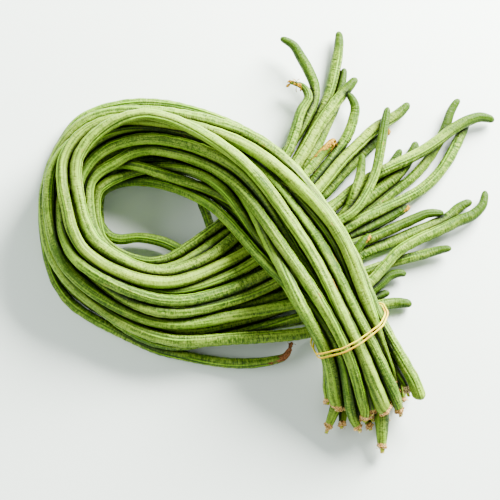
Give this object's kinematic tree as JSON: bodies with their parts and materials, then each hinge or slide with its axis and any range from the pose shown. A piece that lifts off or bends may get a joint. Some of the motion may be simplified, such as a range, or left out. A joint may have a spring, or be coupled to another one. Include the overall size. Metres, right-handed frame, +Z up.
{
  "type": "yardlong bean bunch",
  "caption": "Bunch of long thin green bean pods, tied near the cut ends with a thin rubber band and bent round once so that the tied end lies over the loose tips",
  "frame": {"origin": "middle of the bunch's outline from above, on the surface that it lies on", "axes": "+X to the right of the picture, +Y away from the camera along the surface, +Z up"},
  "size_m": [0.303, 0.284, 0.0601],
  "materials": {
    "pod": "waxy skin of a fresh green pod, wrinkled across, satin",
    "band": "natural yellow rubber, satin"
  },
  "bodies": {
    "root": {"bean_01": "pod", "bean_02": "pod", "bean_03": "pod", "bean_04": "pod", "bean_05": "pod", "bean_06": "pod", "bean_07": "pod", "bean_08": "pod", "bean_09": "pod", "bean_10": "pod", "bean_11": "pod", "bean_12": "pod", "bean_13": "pod", "bean_14": "pod", "bean_15": "pod", "bean_16": "pod", "bean_17": "pod", "bean_18": "pod", "bean_19": "pod", "bean_20": "pod", "bean_21": "pod", "bean_22": "pod", "bean_23": "pod", "bean_24": "pod", "bean_25": "pod", "bean_26": "pod", "bean_27": "pod", "rubber_band": "band"}
  },
  "joints": []
}
